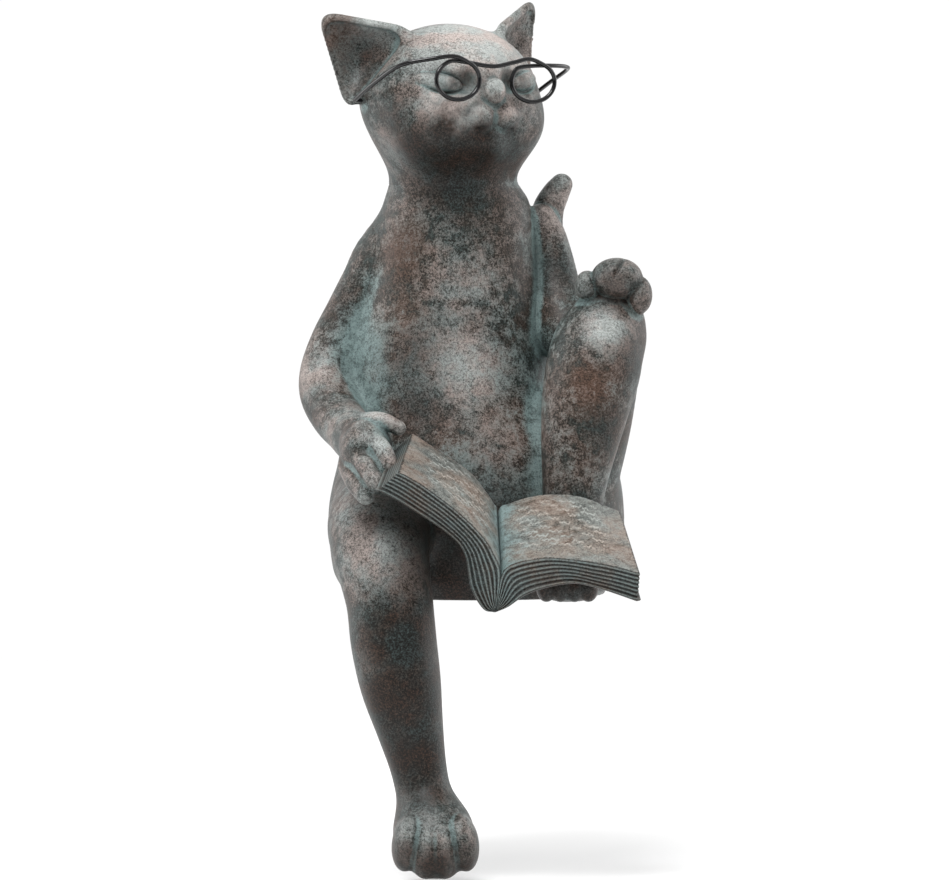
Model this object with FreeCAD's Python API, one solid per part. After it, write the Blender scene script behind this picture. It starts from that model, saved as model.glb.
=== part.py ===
import FreeCAD
import Part
import math
import os

# Cat reading a book, made to sit on the edge of a shelf with one leg hanging over.
# Millimetres. +Z is up and the cat faces -Y. The origin is on the flat seat that
# rests on the shelf, so the hanging leg is below z = 0.

# ---- driving dimensions ----
PAD_THICKNESS = 1.0
PAD_MARGIN = 1.0
WALL = 5.0
GLUE_GAP = 0.1
PEG_RADIUS = 3.5
PEG_LENGTH = 9.0
VENT_RADIUS = 8.0
SECTION_SPACING = 8.0
TIP_SHARE = 0.995

NECK_HEIGHT = 139.0
SPIGOT_RADIUS = 9.0
SOCKET_DEPTH = 10.0
THROAT_RADIUS = 5.0
HEAD_CENTRE = (-9.0, 4.0, 167.0)
HEAD_TURN = 32.0
HEAD_HALF_WIDTH = 32.0
HEAD_HALF_DEPTH = 29.0
HEAD_HALF_HEIGHT = 27.0

WIRE_RADIUS = 0.75
PIVOT_GAP = 0.05
PIVOT_DEPTH = 7.0
LENS_RADIUS = 7.1
LENS_SPACING = 30.0
LENS_FORWARD = 31.0
LENS_RISE = 8.0
LOOP_START = 78
LOOP_END = -220
LOOP_POINTS = 7
LOOP_STEP_BACK = 1.65
TEMPLE_SIDE = 35.0
PIVOT_FORWARD = -4.0
PIVOT_RISE = 1.0

BOOK_THICKNESS = 8.0
SPINE_DROP = 9.5

# Torso sections from the seat to the neck: height, centre x, centre y, half width, half depth.
TORSO_SECTIONS = [
    (PAD_THICKNESS, 0.0, 6.0, 43.0, 34.0),
    (9.0, 0.0, 6.0, 48.5, 39.0),
    (26.0, 0.0, 6.0, 50.0, 41.0),
    (46.0, -3.0, 7.0, 44.5, 38.0),
    (67.0, -7.0, 8.0, 36.5, 34.0),
    (101.0, -7.0, 9.0, 30.0, 27.0),
    (122.0, -7.0, 8.0, 27.8, 23.5),
    (131.0, -7.2, 7.0, 24.8, 21.5),
    (NECK_HEIGHT, -7.7, 6.0, 22.0, 20.5),
]
CAVITY_TOP = 122.0


def vector(point):
    return FreeCAD.Vector(*point)


def ellipse_wire(x, y, z, half_width, half_depth):
    """A level ellipse, wider along X than along Y."""
    ellipse = Part.Ellipse(vector((x, y, z)), half_width, half_depth)
    return Part.Wire(ellipse.toShape())


def circle_wire(centre, normal, radius):
    return Part.Wire(Part.makeCircle(radius, centre, normal))


def spline_through(points):
    curve = Part.BSplineCurve()
    curve.interpolate([vector(point) for point in points])
    return curve


def limb(stations):
    """A round-ended limb through stations of (x, y, z, radius), as even sections and a ball."""
    curve = spline_through([station[:3] for station in stations])
    reach = [curve.length(curve.FirstParameter, curve.parameter(vector(s[:3]))) for s in stations]
    sections = max(4, round(reach[-1] / SECTION_SPACING))
    wires = []
    for index in range(sections + 1):
        distance = reach[-1] * index / sections
        after = next(i for i in range(1, len(reach)) if distance <= reach[i] + 1e-6)
        share = (distance - reach[after - 1]) / (reach[after] - reach[after - 1])
        radius = stations[after - 1][3] * (1 - share) + stations[after][3] * share
        parameter = curve.parameterAtDistance(distance, curve.FirstParameter)
        wires.append(circle_wire(curve.value(parameter), curve.tangent(parameter)[0], radius))
    tube = Part.makeLoft(wires, True, False)
    ball = Part.makeSphere(stations[-1][3] * TIP_SHARE, vector(stations[-1][:3]))
    return tube.fuse(ball)


def ellipsoid(centre, half_sizes, turn=0.0, tilt=0.0):
    """An ellipsoid with half sizes along X, Y and Z, tilted about X and then turned about Z."""
    matrix = FreeCAD.Matrix()
    matrix.scale(*half_sizes)
    shape = Part.makeSphere(1.0).transformGeometry(matrix)
    shape.rotate(vector((0, 0, 0)), vector((1, 0, 0)), tilt)
    shape.rotate(vector((0, 0, 0)), vector((0, 0, 1)), turn)
    shape.translate(vector(centre))
    return shape


def peg(root, direction, growth=0.0):
    """A locating peg that starts inside its own casting and runs past the torso's wall."""
    start = vector(root)
    return Part.makeCylinder(PEG_RADIUS + growth, PEG_LENGTH + growth, start, vector(direction))


def head_point(side, forward, rise):
    """A point in the turned head: side is towards the cat's left, forward is where it looks."""
    turn = math.radians(HEAD_TURN)
    x = HEAD_CENTRE[0] + side * math.cos(turn) + forward * math.sin(turn)
    y = HEAD_CENTRE[1] + side * math.sin(turn) - forward * math.cos(turn)
    return (x, y, HEAD_CENTRE[2] + rise)


def head_direction(side, forward, rise):
    return vector(head_point(side, forward, rise)) - vector(HEAD_CENTRE)


# ---- torso ----
def torso_solid(shrink=0.0, bottom=None, top=None):
    wires = []
    for z, x, y, half_width, half_depth in TORSO_SECTIONS:
        if bottom is not None and z < bottom:
            continue
        if top is not None and z > top:
            continue
        wires.append(ellipse_wire(x, y, z, half_width - shrink, half_depth - shrink))
    return Part.makeLoft(wires, True, False)


PEGS = {
    "right_arm": ((-36.0, 8.0, 118.0), (1.0, 0.0, -0.3)),
    "left_arm": ((23.0, 8.0, 118.0), (-1.0, 0.0, -0.3)),
    "right_leg": ((-27.0, -37.5, 20.0), (0.1, 1.0, 0.0)),
    "left_leg": ((38.0, -20.0, 44.0), (-0.72, 0.69, 0.0)),
    "tail": ((16.0, 48.0, 14.0), (-0.2, -1.0, 0.0)),
}


def make_torso():
    outside = torso_solid()
    floor_height = PAD_THICKNESS + WALL
    cavity = torso_solid(WALL, bottom=floor_height, top=CAVITY_TOP)
    shell = outside.cut(cavity)
    vent = Part.makeCylinder(VENT_RADIUS, 2.0 * floor_height, vector((0, 6, 0)))
    neck_x, neck_y = TORSO_SECTIONS[-1][1:3]
    socket_base = vector((neck_x, neck_y, NECK_HEIGHT - SOCKET_DEPTH))
    neck_socket = Part.makeCylinder(SPIGOT_RADIUS + GLUE_GAP, SOCKET_DEPTH + 1.0, socket_base)
    throat_base = vector((neck_x, neck_y, CAVITY_TOP - WALL))
    throat = Part.makeCylinder(THROAT_RADIUS, NECK_HEIGHT - CAVITY_TOP + 2.0 * WALL, throat_base)
    shell = shell.cut(vent).cut(neck_socket).cut(throat)
    for root, direction in PEGS.values():
        shell = shell.cut(peg(root, direction, GLUE_GAP))
    return shell


# ---- head ----
# Radii of an ear's cone at shares of the way from its base to its tip.
EAR_STEPS = [(0.0, 15.0), (0.35, 12.5), (0.7, 7.0), (1.0, 1.2)]
EAR_CUP_SHIFT = 7.5
EAR_CUP_LIFT = 0.06
EAR_FRONT = 4.0
SLICE_SIZE = 80.0


def ear(side_sign):
    """A cupped ear: an upright cone with its front hollowed out and sliced flat."""
    base = vector(head_point(side_sign * 25.0, -13.0, 9.0))
    tip = vector(head_point(side_sign * 41.5, -12.0, 33.0))
    axis = tip - base
    outer = Part.makeLoft([circle_wire(base + axis * t, axis, r) for t, r in EAR_STEPS], True, False)
    forward = head_direction(0, 1, 0)
    cup_base = base + forward * EAR_CUP_SHIFT
    cup_wires = [circle_wire(cup_base + axis * (t + EAR_CUP_LIFT), axis, r) for t, r in EAR_STEPS[:-1]]
    cup_wires.append(circle_wire(base + axis * 0.97 + forward * 3.0, axis, 0.6))
    cup = Part.makeLoft(cup_wires, True, False)
    half = SLICE_SIZE / 2.0
    front_slice = Part.makeBox(SLICE_SIZE, SLICE_SIZE, SLICE_SIZE, vector((-half, -half, -half)))
    front_slice.rotate(vector((0, 0, 0)), vector((0, 0, 1)), HEAD_TURN)
    front_slice.translate(base + forward * (half + EAR_FRONT))
    return outer.cut(cup).cut(front_slice)


def make_head():
    skull = ellipsoid(HEAD_CENTRE, (HEAD_HALF_WIDTH, HEAD_HALF_DEPTH, HEAD_HALF_HEIGHT), HEAD_TURN)
    muzzle = ellipsoid(head_point(0, 21.5, -2.5), (12.0, 11.5, 9.5), HEAD_TURN)
    neck_x, neck_y, neck_half_width, neck_half_depth = TORSO_SECTIONS[-1][1:]
    neck = Part.makeLoft([
        ellipse_wire(neck_x, neck_y, NECK_HEIGHT, neck_half_width, neck_half_depth),
        ellipse_wire(-8.2, 5.0, NECK_HEIGHT + 6.0, 22.2, 21.5),
        ellipse_wire(-8.6, 4.5, NECK_HEIGHT + 16.0, 23.5, 22.5),
    ], True, False)
    spigot_base = vector((neck_x, neck_y, NECK_HEIGHT - PEG_LENGTH))
    spigot = Part.makeCylinder(SPIGOT_RADIUS, PEG_LENGTH + 10.0, spigot_base)
    head = skull.fuse(muzzle).fuse(neck).fuse(spigot)
    for side_sign in (-1, 1):
        head = head.fuse(ear(side_sign))
    cavity = ellipsoid(HEAD_CENTRE, (HEAD_HALF_WIDTH - WALL, HEAD_HALF_DEPTH - WALL,
                                     HEAD_HALF_HEIGHT - WALL), HEAD_TURN)
    throat = Part.makeCylinder(THROAT_RADIUS, PEG_LENGTH + 20.0, spigot_base)
    head = head.cut(cavity.fuse(throat))
    for side_sign in (-1, 1):
        start = vector(head_point(side_sign * (TEMPLE_SIDE + 4.0), PIVOT_FORWARD, PIVOT_RISE))
        inward = head_direction(-side_sign, 0, 0)
        hole = Part.makeCylinder(WIRE_RADIUS + PIVOT_GAP, PIVOT_DEPTH + 9.0, start, inward)
        head = head.cut(hole)
    return head


# ---- limbs ----
def make_right_arm():
    return limb([(-16.0, 8.0, 121.0, 9.0), (-35.0, 7.0, 112.0, 10.5), (-46.5, 3.0, 93.0, 10.0),
                 (-51.0, -3.0, 75.0, 9.8), (-47.0, -17.0, 62.0, 9.0), (-40.0, -33.0, 53.0, 8.5),
                 (-36.5, -45.0, 48.5, 9.5)])


def make_left_arm():
    upper = limb([(17.0, 8.0, 124.0, 7.5), (26.0, 8.0, 113.0, 8.5), (33.0, 6.0, 98.0, 8.0),
                  (38.0, 1.0, 88.0, 7.5)])
    lower = limb([(38.0, 1.0, 88.0, 7.4), (43.0, -8.0, 95.0, 7.2), (47.0, -20.0, 104.0, 8.5)])
    return upper.fuse(lower).removeSplitter()


def make_right_leg():
    leg = limb([(-28.0, -20.0, 22.0, 18.0), (-30.5, -40.0, 20.0, 17.0), (-31.0, -54.0, 8.0, 15.5),
                (-28.0, -58.5, -12.0, 14.4), (-24.5, -59.5, -32.0, 12.6), (-19.3, -60.5, -53.0, 9.6),
                (-17.2, -61.5, -63.0, 9.2), (-15.2, -64.5, -72.0, 9.7)])
    paw = ellipsoid((-13.6, -69.5, -79.0), (14.0, 16.5, 12.5), tilt=30.0)
    return leg.fuse(paw)


def make_left_leg():
    thigh = limb([(33.0, -6.0, 32.0, 15.0), (38.0, -14.0, 58.0, 14.5), (43.0, -24.0, 82.0, 12.5)])
    shin = limb([(32.0, -38.0, 12.0, 8.5), (35.0, -37.0, 30.0, 9.0), (38.5, -35.0, 52.0, 13.0),
                 (41.5, -31.0, 76.0, 14.0), (44.5, -27.0, 86.0, 11.5)])
    foot = ellipsoid((31.0, -40.0, 7.5), (10.5, 18.0, 7.4))
    return thigh.fuse(shin).fuse(foot)


def make_tail():
    return limb([(12.0, 36.0, 14.0, 9.0), (24.0, 49.0, 14.0, 9.0), (38.0, 46.0, 34.0, 8.0),
                 (38.0, 34.0, 66.0, 7.0), (30.0, 26.0, 98.0, 6.0), (25.5, 21.0, 122.0, 5.2),
                 (28.5, 18.0, 138.0, 4.2)])


# ---- book ----
# Each end of the open book is an outline in a level-sided plane. The points are (x, z) along the
# top of the pages from the left outer edge to the gutter and on to the right outer edge.
BOOK_NEAR_Y = -88.0
BOOK_FAR_Y = -47.0
NEAR_LEFT_PAGE = [(-27.0, 46.0), (-5.3, 32.1), (4.6, 20.2), (8.0, 9.3)]
NEAR_RIGHT_PAGE = [(8.0, 9.3), (12.8, 15.1), (22.6, 16.8), (37.5, 15.1), (54.2, 10.6)]
FAR_LEFT_PAGE = [(-21.4, 56.6), (-8.7, 47.7), (1.4, 39.2), (6.4, 33.4)]
FAR_RIGHT_PAGE = [(6.4, 33.4), (10.0, 36.0), (18.0, 37.0), (31.4, 35.8), (47.0, 30.0)]


def page_edges(points, y):
    """The top edge of one page block and the matching bottom edge of its board."""
    top = spline_through([(x, y, z) for x, z in points])
    drops = []
    for x, z in points:
        tangent = top.tangent(top.parameter(vector((x, y, z))))[0]
        normal = vector((tangent.z, 0.0, -tangent.x))
        drops.append(vector((x, y, z)) + normal * BOOK_THICKNESS)
    return top, drops


def book_section(left_points, right_points, y):
    left_top, left_drops = page_edges(left_points, y)
    right_top, right_drops = page_edges(right_points, y)
    spine = vector((left_points[-1][0], y, left_points[-1][1] - SPINE_DROP))
    left_bottom = spline_through([left_drops[0], left_drops[1], spine])
    right_bottom = spline_through([spine, right_drops[-2], right_drops[-1]])
    edges = [
        left_top.toShape(),
        right_top.toShape(),
        Part.makeLine(vector((right_points[-1][0], y, right_points[-1][1])), right_drops[-1]),
        right_bottom.toShape(),
        left_bottom.toShape(),
        Part.makeLine(left_drops[0], vector((left_points[0][0], y, left_points[0][1]))),
    ]
    return Part.Wire(Part.__sortEdges__(edges))


def make_book():
    near = book_section(NEAR_LEFT_PAGE, NEAR_RIGHT_PAGE, BOOK_NEAR_Y)
    far = book_section(FAR_LEFT_PAGE, FAR_RIGHT_PAGE, BOOK_FAR_Y)
    return Part.makeLoft([near, far], True, True)


# ---- spectacles ----
def lens_loop(centre_side):
    """Points of one turn, from the top round over the cat's left side, stepping back as it goes."""
    points = []
    for index in range(LOOP_POINTS):
        turned = index / (LOOP_POINTS - 1)
        angle = math.radians(LOOP_START + (LOOP_END - LOOP_START) * turned)
        points.append(head_point(centre_side + LENS_RADIUS * math.cos(angle),
                                 LENS_FORWARD - LOOP_STEP_BACK * turned,
                                 LENS_RISE + LENS_RADIUS * math.sin(angle)))
    return points


def wire_between(points):
    curve = spline_through(points)
    profile = circle_wire(vector(points[0]), curve.tangent(curve.FirstParameter)[0], WIRE_RADIUS)
    return Part.Wire(curve.toShape()).makePipeShell([profile], True, True)


def make_spectacles():
    half = LENS_SPACING / 2.0
    points = [
        head_point(-TEMPLE_SIDE, PIVOT_FORWARD, PIVOT_RISE),
        head_point(-TEMPLE_SIDE, 9.0, 7.0),
        head_point(-TEMPLE_SIDE + 2.0, 22.5, 13.0),
        head_point(-half - 9.5, 29.0, 15.0),
    ]
    points += lens_loop(-half)
    points += [
        head_point(-half + 7.5, 30.0, 13.6),
        head_point(0.0, 30.8, 13.2),
        head_point(half - 7.5, 31.2, 14.8),
    ]
    points += lens_loop(half)
    points += [
        head_point(half + 5.0, 29.4, 14.0),
        head_point(TEMPLE_SIDE - 4.5, 26.0, 13.2),
        head_point(TEMPLE_SIDE - 1.5, 20.5, 11.8),
        head_point(TEMPLE_SIDE, 9.0, 7.0),
        head_point(TEMPLE_SIDE, PIVOT_FORWARD, PIVOT_RISE),
    ]
    wire = wire_between(points)
    for side_sign in (-1, 1):
        elbow = vector(head_point(side_sign * TEMPLE_SIDE, PIVOT_FORWARD, PIVOT_RISE))
        inward = head_direction(-side_sign, 0, 0)
        wire = wire.fuse(Part.makeSphere(WIRE_RADIUS, elbow))
        wire = wire.fuse(Part.makeCylinder(WIRE_RADIUS, PIVOT_DEPTH, elbow, inward))
    return wire


def make_seat_pad():
    _, x, y, half_width, half_depth = TORSO_SECTIONS[0]
    outline = ellipse_wire(x, y, 0.0, half_width - PAD_MARGIN, half_depth - PAD_MARGIN)
    return Part.Face(outline).extrude(vector((0, 0, PAD_THICKNESS)))


def main():
    os.makedirs("parts", exist_ok=True)
    torso_outside = torso_solid()
    torso = make_torso()
    head = make_head()
    book = make_book()
    right_leg = make_right_leg().cut(torso_outside).cut(book)
    left_leg = make_left_leg().cut(torso_outside).cut(book)
    right_arm = make_right_arm().cut(torso_outside).cut(book).cut(right_leg)
    left_arm = make_left_arm().cut(torso_outside).cut(left_leg)
    tail = make_tail().cut(torso_outside).cut(left_arm)
    limbs = {"right_arm": right_arm, "left_arm": left_arm, "right_leg": right_leg,
             "left_leg": left_leg, "tail": tail}
    for name, (root, direction) in PEGS.items():
        limbs[name] = limbs[name].fuse(peg(root, direction))
    solids = {"torso_shell": torso, "head_casting": head, "book": book,
              "spectacles": make_spectacles(), "seat_pad": make_seat_pad(), **limbs}
    for name, shape in solids.items():
        shape.exportStep("parts/" + name + ".step")


main()
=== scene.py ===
import math

import bmesh
import bpy
import numpy as np
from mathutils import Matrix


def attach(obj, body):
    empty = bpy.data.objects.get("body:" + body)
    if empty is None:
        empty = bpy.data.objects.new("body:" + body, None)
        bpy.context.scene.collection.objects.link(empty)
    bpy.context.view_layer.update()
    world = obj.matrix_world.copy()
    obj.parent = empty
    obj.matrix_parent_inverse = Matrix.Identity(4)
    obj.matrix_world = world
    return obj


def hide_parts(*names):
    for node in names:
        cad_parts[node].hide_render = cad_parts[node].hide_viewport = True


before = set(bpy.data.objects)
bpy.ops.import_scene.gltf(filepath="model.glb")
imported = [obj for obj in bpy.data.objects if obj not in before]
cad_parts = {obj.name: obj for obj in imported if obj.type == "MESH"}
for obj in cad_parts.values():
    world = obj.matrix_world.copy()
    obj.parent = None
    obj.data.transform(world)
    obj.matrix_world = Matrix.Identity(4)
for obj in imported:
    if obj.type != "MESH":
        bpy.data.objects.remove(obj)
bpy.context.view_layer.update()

import openvdb
from mathutils import Vector

# The castings are modelled in clay: distance fields in millimetres that are blended, cut and
# meshed. Everything below is in the CAD's frame: +Z up, the cat faces -Y.
MM = 0.001
# Distances are kept up to FAR, and worked out within REACH of a shape.
FAR = 10.0
REACH = 8.0
# Castings stand back from each other by SEAM, and taper off outside their own ground.
SEAM = 0.05
SEAM_SLOPE = 0.4
# A meshed surface settles in this many moves; flat spots in the field are kept from dividing by 0.
SETTLE_MOVES = 2
FLATTEST = 0.05
MESH_BAND_STEPS = 4.0
# How far the field is blurred to find fine creases and broad forms.
FINE_BLUR = 1.2
BROAD_BLUR = 3.6

NECK_HEIGHT = 139.0
HEAD_CENTRE = np.array([-9.0, 4.0, 167.0])
HEAD_TURN = math.radians(32.0)


# ---- clay: distance fields on a grid ----
class Clay:
    """A box of space with one signed distance per grid point, positive outside."""

    def __init__(self, low, high, step):
        self.low = np.array(low, np.float32)
        self.step = step
        self.axes = [np.arange(a, b, step, dtype=np.float32) for a, b in zip(low, high)]
        self.field = np.full([len(axis) for axis in self.axes], FAR, np.float32)

    def window(self, low, high):
        """The part of the grid inside a box, as slices and broadcastable coordinates."""
        slices = []
        for axis, a, b in zip(self.axes, low, high):
            slices.append(slice(int(np.searchsorted(axis, a)), int(np.searchsorted(axis, b))))
        x, y, z = (axis[cut] for axis, cut in zip(self.axes, slices))
        return tuple(slices), x[:, None, None], y[None, :, None], z[None, None, :]

    def lump(self, shapes, roundness):
        """The grid slices round some shapes, and the distance to the nearest of them there."""
        pad = roundness + REACH
        low = np.min([shape[0] for shape in shapes], axis=0) - pad
        high = np.max([shape[1] for shape in shapes], axis=0) + pad
        slices = self.window(low, high)[0]
        nearest = np.full([part.stop - part.start for part in slices], FAR, np.float32)
        for shape_low, shape_high, distance in shapes:
            own, x, y, z = self.window(shape_low - pad, shape_high + pad)
            inner = tuple(slice(a.start - b.start, a.stop - b.start) for a, b in zip(own, slices))
            if nearest[inner].size:
                nearest[inner] = np.minimum(nearest[inner], distance(x, y, z).astype(np.float32))
        return slices, nearest

    def add(self, *shapes, roundness=0.0):
        slices, nearest = self.lump(shapes, roundness)
        if nearest.size:
            self.field[slices] = join(self.field[slices], nearest, roundness)

    def cut(self, *shapes, roundness=0.0):
        slices, nearest = self.lump(shapes, roundness)
        if nearest.size:
            self.field[slices] = -join(-self.field[slices], nearest, roundness)


def join(a, b, roundness):
    """The union of two fields, with a fillet of about this size where they meet."""
    if roundness <= 0.0:
        return np.minimum(a, b)
    share = np.clip(0.5 + 0.5 * (b - a) / roundness, 0.0, 1.0)
    return b + (a - b) * share - roundness * share * (1.0 - share)


def smoothstep(low, high, value):
    t = np.clip((value - low) / (high - low), 0.0, 1.0)
    return t * t * (3.0 - 2.0 * t)


# ---- shapes: each is (low corner, high corner, distance function) ----
def oval(centre, radii, turn=0.0, tilt=0.0, roll=0.0):
    """An ellipsoid. Its own axes are side, back and up: rolled about back, tilted about side
    and then turned about Z."""
    centre = np.array(centre, float)
    radii = np.array(radii, float)
    ct, st, cp, sp, cr, sr = (f(a) for a in (turn, tilt, roll) for f in (math.cos, math.sin))
    about_z = np.array([[ct, -st, 0], [st, ct, 0], [0, 0, 1]])
    about_x = np.array([[1, 0, 0], [0, cp, -sp], [0, sp, cp]])
    about_y = np.array([[cr, 0, sr], [0, 1, 0], [-sr, 0, cr]])
    rows = (about_z @ about_x @ about_y).T
    reach = np.sqrt(((rows * radii[:, None]) ** 2).sum(axis=0))

    def distance(x, y, z):
        x, y, z = x - centre[0], y - centre[1], z - centre[2]
        inner = 0.0
        outer = 0.0
        for row, radius in zip(rows, radii):
            along = x * row[0] + y * row[1] + z * row[2]
            inner = inner + (along / radius) ** 2
            outer = outer + (along / radius ** 2) ** 2
        inner = np.sqrt(inner) + 1e-6
        return inner * (inner - 1.0) / (np.sqrt(outer) + 1e-6)

    return centre - reach, centre + reach, distance


def bone(a, b, radius_a, radius_b):
    """A straight round bar with round ends and a changing radius."""
    a, b = np.array(a, float), np.array(b, float)
    along = b - a
    length_squared = float(along @ along) + 1e-9
    thick = max(radius_a, radius_b)

    def distance(x, y, z):
        x, y, z = x - a[0], y - a[1], z - a[2]
        t = np.clip((x * along[0] + y * along[1] + z * along[2]) / length_squared, 0.0, 1.0)
        gap = np.sqrt((x - t * along[0]) ** 2 + (y - t * along[1]) ** 2 + (z - t * along[2]) ** 2)
        return gap - (radius_a + (radius_b - radius_a) * t)

    return np.minimum(a, b) - thick, np.maximum(a, b) + thick, distance


def smooth_path(stations, steps=5):
    """Catmull-Rom points through a short list of stations; every column is carried along."""
    stations = np.array(stations, float)
    padded = np.vstack([2 * stations[0] - stations[1], stations, 2 * stations[-1] - stations[-2]])
    points = []
    for i in range(1, len(padded) - 2):
        p0, p1, p2, p3 = padded[i - 1:i + 3]
        for t in np.arange(steps) / steps:
            points.append(0.5 * (2 * p1 + (p2 - p0) * t + (2 * p0 - 5 * p1 + 4 * p2 - p3) * t ** 2
                                 + (3 * p1 - p0 - 3 * p2 + p3) * t ** 3))
    points.append(stations[-1])
    return np.array(points)


def limb(stations, steps=5):
    """Bones along a smooth path through stations of (x, y, z, radius)."""
    path = smooth_path(stations, steps)
    return [bone(a[:3], b[:3], a[3], b[3]) for a, b in zip(path[:-1], path[1:])]


def trunk(sections, steps=12):
    """An upright body through level elliptical sections of (z, x, y, half width, half depth)."""
    rows = smooth_path(sections, steps)
    low = np.array([-75.0, -60.0, rows[0][0]])
    high = np.array([75.0, 70.0, rows[-1][0]])

    def distance(x, y, z):
        values = [np.interp(z, rows[:, 0], rows[:, i]) for i in (1, 2, 3, 4)]
        cx, cy, rx, ry = values
        u, v = (x - cx) / rx, (y - cy) / ry
        inner = np.sqrt(u * u + v * v) + 1e-6
        outer = np.sqrt((u / rx) ** 2 + (v / ry) ** 2) + 1e-6
        side = inner * (inner - 1.0) / outer
        return np.maximum(side * 0.97, np.maximum(rows[0][0] - z, z - rows[-1][0]))

    return low, high, distance


def below(height):
    """Everything under a level plane."""
    low = np.array([-200.0] * 3)
    high = np.array([200.0, 200.0, height])
    return low, high, lambda x, y, z: z - height + 0 * x * y


# ---- the head's own directions ----
def head(side, forward, rise):
    """A point in the turned head. side is towards the cat's left, forward is where it looks."""
    turned = [side * math.cos(HEAD_TURN) + forward * math.sin(HEAD_TURN),
              side * math.sin(HEAD_TURN) - forward * math.cos(HEAD_TURN), rise]
    return HEAD_CENTRE + np.array(turned)


def head_oval(place, radii, turn=0.0, tilt=0.0, roll=0.0):
    return oval(head(*place), radii, HEAD_TURN + math.radians(turn), math.radians(tilt),
                math.radians(roll))


def head_limb(stations, steps=5):
    return limb([[*head(*station[:3]), station[3]] for station in stations], steps)


EAR_BULGE = 8.0
EAR_SWELL = 2.7
EAR_RIMS = (0.7, 1.4, 2.4)
EAR_BOX_MARGIN = 12.0
EAR_FRONT = 1.2
EAR_FRONT_DROP = 0.4
EAR_BACK = 2.2
EAR_BACK_SWELL = 6.5
EAR_BACK_SPAN = 9.0
CUP_EDGE = 0.8
CUP_DEPTH = 3.6
CUP_SPAN = 6.0


def ear_plate(tip, low_corner, high_corner, cup):
    """A cupped triangular ear. Without cup it is the solid ear; with cup it is its hollow."""
    tip, low_corner, high_corner = (np.array(p, float) for p in (tip, low_corner, high_corner))
    normal = np.cross(low_corner - high_corner, tip - high_corner)
    normal /= np.linalg.norm(normal)
    if normal[1] > 0:
        normal = -normal
    corners = [tip, low_corner, high_corner]
    middle = sum(corners) / 3.0
    edges = []
    for a, b in zip(corners, corners[1:] + corners[:1]):
        outward = np.cross(b - a, normal)
        outward /= np.linalg.norm(outward)
        if outward @ (middle - a) > 0:
            outward = -outward
        edges.append((outward, float(outward @ a)))

    def distance(x, y, z):
        off = [x * n[0] + y * n[1] + z * n[2] - level for n, level in edges]
        rim = join_max(join_max(off[0], off[1], EAR_BULGE), off[2], EAR_BULGE) - EAR_SWELL
        height = (x - middle[0]) * normal[0] + (y - middle[1]) * normal[1] + (z - middle[2]) * normal[2]
        if cup:
            off = [gap + width for gap, width in zip(off, EAR_RIMS)]
            hollow = join_max(join_max(off[0], off[1], EAR_BULGE), off[2], EAR_BULGE) - EAR_SWELL
            floor = -CUP_EDGE - CUP_DEPTH * smoothstep(0.0, CUP_SPAN, -hollow)
            return np.maximum(join_max(hollow, floor - height, CUP_EDGE), height - EAR_BOX_MARGIN)
        inside = np.clip(-rim, 0.0, EAR_BACK_SPAN)
        back = -EAR_BACK - EAR_BACK_SWELL * smoothstep(0.0, EAR_BACK_SPAN, inside)
        front = EAR_FRONT - EAR_FRONT_DROP * smoothstep(3.0, 0.0, inside)
        return join_max(join_max(rim, height - front, 1.8), back - height, 2.4)

    return np.min(corners, axis=0) - EAR_BOX_MARGIN, np.max(corners, axis=0) + EAR_BOX_MARGIN, distance


def join_max(a, b, roundness):
    return -join(-a, -b, roundness)


# ---- the castings' shapes ----
TRUNK = [
    (-1.0, 0.0, 6.0, 44.0, 33.0),
    (8.0, 0.0, 6.0, 48.5, 38.0),
    (24.0, 0.8, 6.0, 49.0, 40.5),
    (44.0, -3.0, 7.0, 43.5, 37.5),
    (64.0, -8.6, 8.0, 36.4, 33.0),
    (84.0, -9.5, 9.0, 34.0, 29.0),
    (101.0, -8.0, 9.0, 31.0, 26.5),
    (116.0, -7.2, 8.5, 28.4, 24.5),
    (126.0, -6.8, 7.5, 26.8, 22.8),
    (134.0, -6.4, 6.5, 24.4, 21.2),
    (141.0, -7.6, 6.0, 21.4, 20.5),
    (150.0, -7.6, 5.5, 21.6, 20.6),
    (162.0, -8.0, 5.0, 22.0, 21.5),
]


def sculpt_torso(clay):
    clay.add(trunk(TRUNK))


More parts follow.
